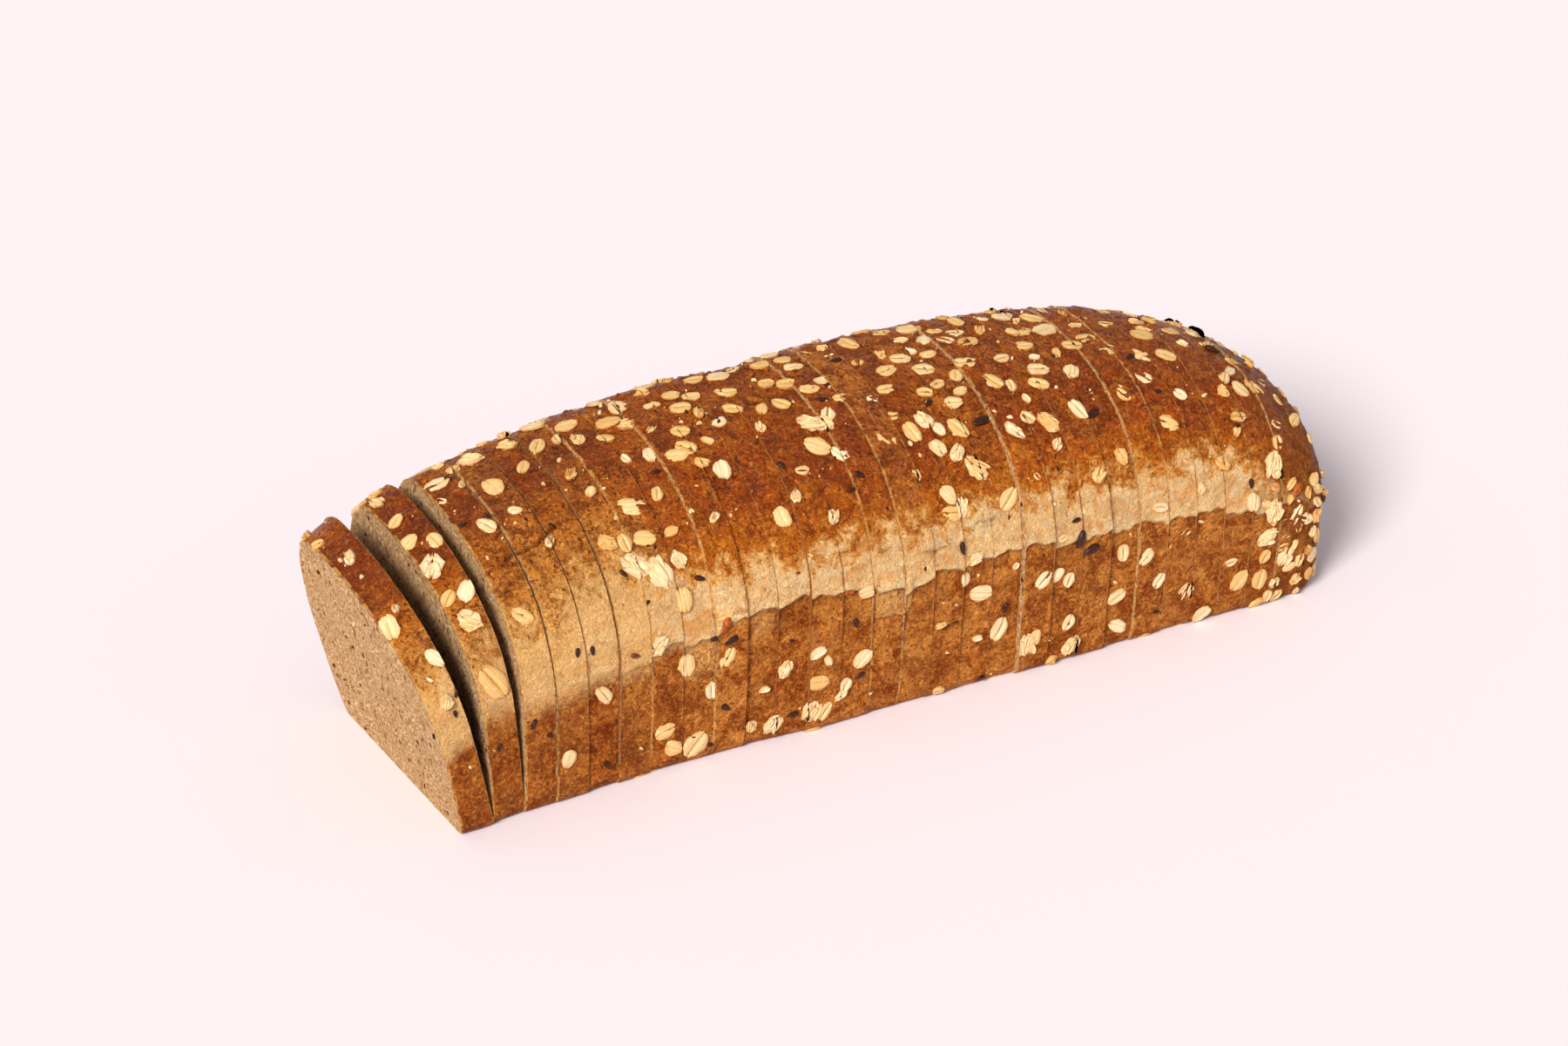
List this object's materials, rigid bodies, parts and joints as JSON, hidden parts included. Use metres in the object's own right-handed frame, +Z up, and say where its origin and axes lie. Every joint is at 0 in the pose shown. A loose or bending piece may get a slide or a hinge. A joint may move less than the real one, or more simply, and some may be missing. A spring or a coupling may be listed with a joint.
{
  "type": "sliced multigrain tin loaf",
  "caption": "Sliced multigrain tin loaf with rolled oats baked onto a domed crust, a pale torn band along its side, and its front slices tipped forward.",
  "frame": {"origin": "on the table under the middle of the loaf's bounding box", "axes": "+X along the loaf from the cut front slice to the crusted heel, +Y across it away from the side with the pale torn band, +Z up"},
  "size_m": [0.3714, 0.1092, 0.1069],
  "materials": {
    "crust": "baked, half glossy",
    "heel_crust": "baked, half glossy"
  },
  "bodies": {
    "root": {"slice_01": "crust", "slice_02": "crust", "slice_03": "crust", "slice_04": "crust", "slice_05": "crust", "slice_06": "crust", "slice_07": "crust", "slice_08": "crust", "slice_09": "crust", "slice_10": "crust", "slice_11": "crust", "slice_12": "crust", "slice_13": "crust", "slice_14": "crust", "slice_15": "crust", "slice_16": "crust", "slice_17": "crust", "slice_18": "crust", "slice_19": "crust", "slice_20": "crust", "slice_21": "crust", "slice_22": "crust", "slice_23": "crust", "slice_24": "crust", "slice_25": "crust", "slice_26": "crust", "slice_27": "crust", "slice_28": "crust", "slice_29_heel": "heel_crust"}
  },
  "joints": []
}
